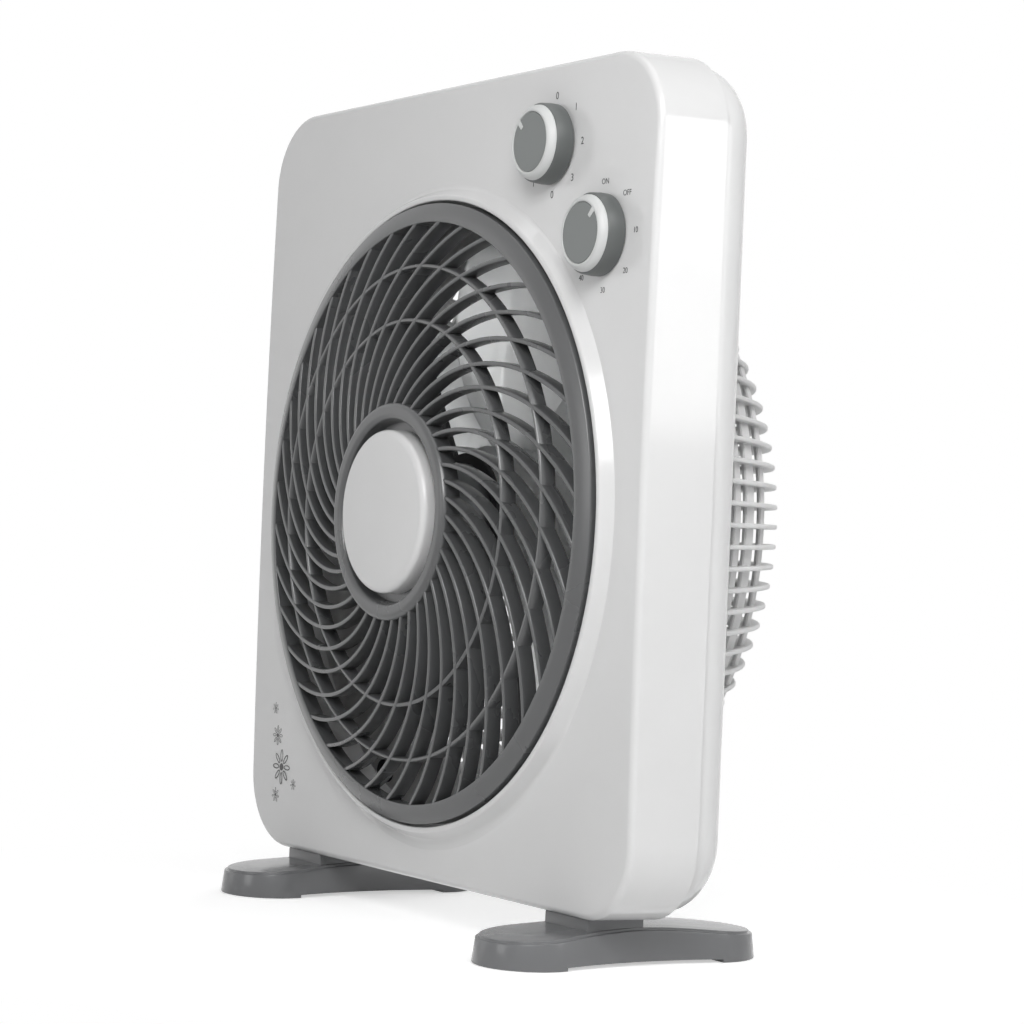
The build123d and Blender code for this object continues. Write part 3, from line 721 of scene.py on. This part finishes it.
def knob_pointer(name, x, z, turn):
    """Tapered bar in the upper half of the knob's face, turned to its place at rest."""
    only(None)
    bpy.ops.mesh.primitive_cube_add(size=1, location=spot(x, pointer_depth, z + pointer_rise))
    bpy.context.object.scale = [length * mm for length in pointer_size]
    pointer = named(name)
    middle = spot(x, pointer_depth, z)
    pick(pointer, "VERT", lambda place, out: place.z < z + pointer_rise)
    bpy.ops.transform.resize(value=(pointer_taper, 1, 1), center_override=middle)
    everything(pointer)
    bpy.ops.transform.rotate(value=radians(-turn), orient_axis="Y", center_override=middle)
    done()
    soften(pointer, pointer_edge, segments=3)
    smooth(pointer)
    return pointer


def knob(name, place, turn):
    x, z = place[0], plate_z + place[1]
    drum = turned(f"{name}_knob_drum", drum_profile, steps=small_round, x=x, z=z)
    ring = turned(f"{name}_knob_ring", ring_profile, steps=small_round, x=x, z=z)
    face = turned(f"{name}_knob_face", face_profile, steps=small_round, x=x, z=z)
    for piece in (drum, ring, face):
        smooth(piece, 40)
    pointer = knob_pointer(f"{name}_knob_pointer", x, z, turn)
    body = f"{name}_dial"
    # The drum takes the darker copy of the knob plastic, painted shade on its side
    dress(drum, drum_painted_shade, body, "grey_plastic", f"{name}_knob")
    dress(ring, ring_plastic, body, "white_plastic")
    dress(face, knob_plastic, body, "grey_plastic")
    dress(pointer, ring_plastic, body, "white_plastic")


knob("speed", speed_dial, -45.0)
knob("timer", timer_dial, 45.0)


# Print on the front face: dial words and daisies
ink_lift = 0.06
ink_thickness = 0.03
word_step = 45
word_shift = (0.8, -0.4)


def print_word(name, text, x, z, size):
    """A printed word lying on the front face."""
    only(None)
    place = spot(x, -crown(z - plate_z) - ink_lift, z)
    bpy.ops.object.text_add(location=place, rotation=(pi / 2, 0, 0))
    word = bpy.context.object
    word.data.body = text
    word.data.size = size * mm
    word.data.align_x = "CENTER"
    word.data.align_y = "CENTER"
    word.data.extrude = ink_thickness * mm
    bpy.ops.object.convert(target="MESH")
    dress(named(name), print_ink, "housing", "black_plastic")


def dial_words(name, place, radius, start, words, size):
    """Printed words at eight places round a knob, from a starting angle in degrees."""
    for index, text in enumerate(words):
        turn = radians(start + word_step * index)
        x = place[0] + word_shift[0] + radius * sin(turn)
        z = plate_z + place[1] + word_shift[1] + radius * cos(turn)
        print_word(f"{name}_mark_{index}", text, x, z, size)


speed_words = ("0", "1", "2", "3", "0", "1", "2", "3")
timer_words = ("ON", "OFF", "10", "20", "30", "40", "50", "60")
dial_words("speed", speed_dial, 22.4, 0.0, speed_words, 4.8)
dial_words("timer", timer_dial, 24.0, -2.5, timer_words, 3.6)

# A daisy's parts as shares of its radius
petal_half = 0.34
petal_middle = 0.62
petal_slimness = 0.42
petal_line = 0.055
daisy_eye = 0.2


def daisy(name, x, z, radius, petals):
    """Outlined petals round a full eye, level with the face at the topmost petal."""
    depth = -crown(z - plate_z + radius) - ink_lift
    only(None)
    bpy.ops.mesh.primitive_circle_add(
        vertices=20,
        radius=radius * petal_half * mm,
        location=spot(x, depth, z + radius * petal_middle),
        rotation=(pi / 2, 0, 0),
    )
    petal = named(name)
    everything(petal)
    bpy.ops.transform.resize(value=(petal_slimness, 1, 1), center_override=spot(x, depth, z))
    bpy.ops.mesh.edge_face_add()
    bpy.ops.mesh.inset(thickness=radius * petal_line * mm)
    bpy.ops.mesh.delete(type="FACE")
    done()
    turn_copies(petal, petals, x=x, z=z)
    only(None)
    bpy.ops.mesh.primitive_circle_add(
        vertices=24,
        radius=radius * daisy_eye * mm,
        fill_type="NGON",
        location=spot(x, depth, z),
        rotation=(pi / 2, 0, 0),
    )
    flower = joined(name, petal, named("daisy_eye"))
    everything(flower)
    bpy.ops.mesh.extrude_region_move(TRANSFORM_OT_translate={"value": (0, ink_thickness * mm, 0)})
    done()
    dress(flower, grey_ink, "housing", "black_plastic")


daisies = (
    (-149, -119, 3.2, 7),
    (-146, -133, 5.4, 8),
    (-141, -149, 9.5, 8),
    (-128, -157, 3.0, 7),
    (-147, -164, 4.0, 7),
)
for index, (x, z, radius, petals) in enumerate(daisies):
    daisy(f"daisy_{index + 1}", x, plate_z + z, radius, petals)


# Feet: peanut-shaped shoes that rise to the waist, each with a plinth under the box
foot_places = (-121.25, 121.25)
foot_y = -10.5
foot_waist = 20.0
foot_half = 25.0
foot_shoulder = 41.5
foot_end = 30.0
outline_steps = 24
outline_weld = 0.00005
sole_height = 1
shoe_wall = 10.8
shoe_draft = (0.955, 0.982, 1)
shoe_step = 1.5
shoe_edge = 0.7
shoe_top = 1.2
shoe_crown = ((0.4, 0.0), (3.0, 0.3), (6.0, 0.2), (4.0, 0.1))
waist_half = 3
waist_rise = 4.3
waist_spread = 80
arch_size = (80, 84, 3)
plinth_size = (34, 30.5, 10)
plinth_depth = 19.25
plinth_z = 15.1
plinth_slope = 0.79
plinth_edge = 0.8
recess_radius = 3.9
recess_length = 16
recess_depths = (10.0, 22.0)


def foot_outline():
    """Peanut outline: hollow long sides and round ends, from the front right corner round."""
    hollow_by = foot_half - foot_waist
    side_radius = (foot_shoulder**2 + hollow_by**2) / (2 * hollow_by)
    end_radius = (foot_half**2 + foot_end**2) / (2 * foot_end)
    points = []
    for step in range(outline_steps + 1):
        y = -foot_shoulder + 2 * foot_shoulder * step / outline_steps
        points.append((foot_waist + side_radius - sqrt(side_radius**2 - y**2), y))
    lean = asin((foot_end - end_radius) / end_radius)
    end_middle = foot_shoulder + foot_end - end_radius
    for step in range(1, outline_steps + 1):
        turn = -lean + (pi + 2 * lean) * step / (outline_steps + 1)
        points.append((end_radius * cos(turn), end_middle + end_radius * sin(turn)))
    return points + [(-across, -along) for across, along in points]


def foot_plinth(x):
    """Block between the foot and the underside of the box, its top sloped like the skirt."""
    only(None)
    bpy.ops.mesh.primitive_cube_add(size=1, location=spot(x, plinth_depth, plinth_z))
    bpy.context.object.scale = [length * mm for length in plinth_size]
    plinth = named("foot_plinth")
    pick(plinth, "VERT", lambda place, out: place.z > plinth_z and place.y < plate_y + plinth_depth)
    bpy.ops.transform.translate(value=(0, 0, plinth_slope * mm))
    done()
    soften(plinth, plinth_edge, segments=3)
    return plinth


def foot(name, x):
    middle = Vector((x * mm, foot_y * mm, 0))
    outline = [middle + Vector((across * mm, along * mm, 0)) for across, along in foot_outline()]
    shoe = draw_line(name, outline + outline[:1])
    everything(shoe)
    bpy.ops.mesh.remove_doubles(threshold=outline_weld)
    bpy.ops.mesh.edge_face_add()
    bpy.ops.mesh.extrude_region_move(TRANSFORM_OT_translate={"value": (0, 0, shoe_wall * mm)})
    bpy.ops.transform.resize(value=shoe_draft, center_override=middle)
    bpy.ops.mesh.inset(thickness=shoe_step * mm)
    bpy.ops.mesh.extrude_region_move(TRANSFORM_OT_translate={"value": (0, 0, shoe_top * mm)})
    for thickness, rise in shoe_crown:
        bpy.ops.mesh.inset(thickness=thickness * mm)
        bpy.ops.transform.translate(value=(0, 0, rise * mm))
    done()
    weld(shoe)
    pick(shoe, "VERT", lambda place, out: place.z < sole_height)
    bpy.ops.mesh.hide(unselected=False)
    pick(
        shoe,
        "VERT",
        lambda place, out: place.z > sole_height and abs(place.y - foot_y) < waist_half,
    )
    bpy.ops.transform.translate(
        value=(0, 0, waist_rise * mm),
        use_proportional_edit=True,
        proportional_edit_falloff="SMOOTH",
        proportional_size=waist_spread * mm,
    )
    bpy.ops.mesh.reveal(select=False)
    done()
    soften(shoe, shoe_edge, segments=3, angle=35)
    only(None)
    bpy.ops.mesh.primitive_cube_add(size=1, location=middle)
    bpy.context.object.scale = [length * mm for length in arch_size]
    carve(shoe, named("foot_arch"))
    for depth in recess_depths:
        only(None)
        bpy.ops.mesh.primitive_cylinder_add(
            vertices=32,
            radius=recess_radius * mm,
            depth=recess_length * mm,
            location=spot(x, depth, 0),
        )
        carve(shoe, named("screw_recess"))
    shoe = joined(name, shoe, foot_plinth(x))
    smooth(shoe, 35)
    return shoe


for side, x in zip(("left", "right"), foot_places):
    dress(foot(f"{side}_foot_shoe", x), foot_plastic, "housing", "grey_plastic", f"{side}_foot")


# What shows through the grille and from behind: smooth copies of the solids
copy_edge = 0.4


def smooth_copy(solid, name):
    """A solid's mesh with its doubles merged, its flat faces whole and its edges rounded."""
    only(None)
    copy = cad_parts[solid].copy()
    copy.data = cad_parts[solid].data.copy()
    copy.parent = None
    for key in list(copy.keys()):
        del copy[key]
    bpy.context.scene.collection.objects.link(copy)
    copy.name = name
    everything(copy)
    bpy.ops.mesh.remove_doubles(threshold=weld_distance)
    bpy.ops.mesh.tris_convert_to_quads()
    bpy.ops.mesh.dissolve_limited(angle_limit=radians(1))
    done()
    soften(copy, copy_edge, segments=2, angle=40)
    smooth(copy, 35)
    return copy


for solid, finish, slot, body in (
    ("impeller", blade_plastic, "pale_plastic", "fan"),
    ("grille_bracket", black_plastic, "black_plastic", "housing"),
    ("grille_motor", motor_paint, "motor_cover", "housing"),
    ("motor_front_cover", motor_paint, "motor_cover", "housing"),
    ("motor_rear_cover", motor_paint, "motor_cover", "housing"),
):
    dress(smooth_copy(solid, f"{solid}_dressed"), finish, body, slot, solid)

# Solids shown as they are, by finish
bare_solids = (
    (steel, ("housing_screws", "foot_screws", "motor_bolts")),
    (steel, ("grille_shaft", "motor_shaft", "timer_spindle")),
    (laminated_steel, ("stator_core", "rotor")),
    (copper_wire, ("stator_coils",)),
    (bronze, ("front_bearing", "rear_bearing")),
    (black_plastic, ("cord_gland", "impeller_nut", "speed_spindle")),
    (black_plastic, ("speed_switch", "timer_movement", "run_capacitor")),
)
for finish, solids in bare_solids:
    for solid in solids:
        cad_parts[solid].data.materials.clear()
        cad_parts[solid].data.materials.append(finish)


# Studio: pale floor, white surround, soft lights and the camera


def seen_directly(tree):
    """One where the camera, a gloss or a clear piece sees the surface, else nought."""
    path = node(tree, "ShaderNodeLightPath")
    gloss = node(tree, "ShaderNodeMath", operation="MAXIMUM")
    seen = node(tree, "ShaderNodeMath", operation="MAXIMUM")
    tree.links.new(path.outputs["Is Glossy Ray"], gloss.inputs[0])
    tree.links.new(path.outputs["Is Transmission Ray"], gloss.inputs[1])
    tree.links.new(path.outputs["Is Camera Ray"], seen.inputs[0])
    tree.links.new(gloss.outputs[0], seen.inputs[1])
    return seen


def floor():
    """Pale floor that takes the shadow near the feet and runs out to white."""
    only(None)
    bpy.ops.mesh.primitive_plane_add(size=12.0, location=(0, 0, -0.0002))
    ground = named("studio_floor")
    finish, tree, shader = new_finish("studio_floor")
    shader.inputs["Base Color"].default_value = (0.9, 0.9, 0.9, 1.0)
    shader.inputs["Roughness"].default_value = 0.7
    shader.inputs["Specular IOR Level"].default_value = 0.1
    shader.inputs["Emission Color"].default_value = (1, 1, 1, 1)
    place = node(tree, "ShaderNodeTexCoord")
    far = node(tree, "ShaderNodeVectorMath", operation="LENGTH")
    fade = node(tree, "ShaderNodeMapRange", interpolation_type="SMOOTHSTEP")
    fade.inputs["From Min"].default_value = 0.12
    fade.inputs["From Max"].default_value = 0.34
    seen = seen_directly(tree)
    share = node(tree, "ShaderNodeMath", operation="MULTIPLY")
    white = node(tree, "ShaderNodeEmission")
    white.inputs["Strength"].default_value = 1.0
    lift = node(tree, "ShaderNodeMath", operation="MULTIPLY")
    lift.inputs[1].default_value = 0.5
    mix = node(tree, "ShaderNodeMixShader")
    link = tree.links.new
    link(place.outputs["Object"], far.inputs[0])
    link(far.outputs["Value"], fade.inputs["Value"])
    link(seen.outputs[0], share.inputs[0])
    link(fade.outputs["Result"], share.inputs[1])
    link(share.outputs[0], mix.inputs["Fac"])
    link(seen.outputs[0], lift.inputs[0])
    link(lift.outputs[0], shader.inputs["Emission Strength"])
    link(shader.outputs[0], mix.inputs[1])
    link(white.outputs[0], mix.inputs[2])
    link(mix.outputs[0], tree.nodes["Material Output"].inputs["Surface"])
    ground.data.materials.append(finish)


def surround():
    """White where it is seen, and faint as a light."""
    world = bpy.data.worlds.new("studio")
    bpy.context.scene.world = world
    world.use_nodes = True
    tree = world.node_tree
    light = tree.nodes["Background"]
    light.inputs["Color"].default_value = (1, 1, 1, 1)
    light.inputs["Strength"].default_value = 0.04
    white = node(tree, "ShaderNodeBackground")
    white.inputs["Color"].default_value = (1, 1, 1, 1)
    white.inputs["Strength"].default_value = 1.0
    mix = node(tree, "ShaderNodeMixShader")
    tree.links.new(seen_directly(tree).outputs[0], mix.inputs["Fac"])
    tree.links.new(light.outputs[0], mix.inputs[1])
    tree.links.new(white.outputs[0], mix.inputs[2])
    tree.links.new(mix.outputs[0], tree.nodes["World Output"].inputs["Surface"])


def softbox(name, place, aim, width, height, power, faint=1.0, mirrored=True):
    """A soft light that may fade from right to left and may stay out of reflections."""
    bpy.ops.object.light_add(type="AREA", location=place)
    lamp = bpy.context.object
    lamp.name = name
    lamp.data.shape = "RECTANGLE"
    lamp.data.size = width
    lamp.data.size_y = height
    lamp.data.energy = power
    lamp.visible_glossy = mirrored
    way = Vector(aim) - Vector(place)
    lamp.rotation_euler = way.to_track_quat("-Z", "Y").to_euler()
    if faint < 1.0:
        lamp.data.use_nodes = True
        tree = lamp.data.node_tree
        across = node(tree, "ShaderNodeNewGeometry")
        parts = node(tree, "ShaderNodeSeparateXYZ")
        ramp = node(tree, "ShaderNodeMapRange")
        ramp.inputs["From Min"].default_value = 0.1
        ramp.inputs["From Max"].default_value = 0.9
        ramp.inputs["To Min"].default_value = faint
        ramp.inputs["To Max"].default_value = 1.0
        tree.links.new(across.outputs["Parametric"], parts.inputs[0])
        tree.links.new(parts.outputs["X"], ramp.inputs["Value"])
        tree.links.new(ramp.outputs["Result"], tree.nodes["Emission"].inputs["Strength"])


def camera():
    """The photograph's view: from the front right, about level with the middle."""
    turn, rise, roll, distance = radians(57.42), radians(-0.44), radians(2.42), 1.2954
    target = Vector((0.06934, -0.042, 0.19795))
    back = Vector((sin(turn) * cos(rise), -cos(turn) * cos(rise), sin(rise)))
    right = Vector((cos(turn), sin(turn), 0))
    up = back.cross(right)
    across = right * cos(roll) + up * sin(roll)
    upright = up * cos(roll) - right * sin(roll)
    bpy.ops.object.camera_add()
    lens = bpy.context.object
    lens.name = "photo_camera"
    lens.data.lens = 99.56
    lens.data.sensor_width = 36.0
    lens.matrix_world = Matrix.Translation(target + back * distance) @ Matrix(
        (across, upright, back)
    ).transposed().to_4x4()
    bpy.context.scene.camera = lens


only(None)
floor()
surround()
softbox("side_softbox", (1.02, 0.53, 0.50), (0.17, -0.02, 0.30), 0.36, 0.46, 2.0)
softbox("side_fill", (1.0, -0.01, 1.0), (0.17, 0, 0.25), 0.5, 0.5, 3.4)
softbox("key_softbox", (0.84, -0.68, 0.78), (0.02, -0.04, 0.2), 0.5, 0.5, 7.2)
softbox("front_softbox", (0.0, -1.8, 0.5), (0, 0, 0.2), 0.6, 0.6, 2.5)
softbox("left_softbox", (-1.75, -1.2, 0.62), (-1.75, 0, 0.62), 1.3, 1.2, 4, faint=0.0)
softbox("back_softbox", (-0.75, 1.0, 0.5), (0, 0, 0.24), 0.8, 0.8, 7, mirrored=False)
softbox("top_softbox", (0.1, -0.1, 1.8), (0, 0, 0.2), 1.0, 1.0, 3)
camera()
bpy.context.scene.view_settings.view_transform = "Standard"
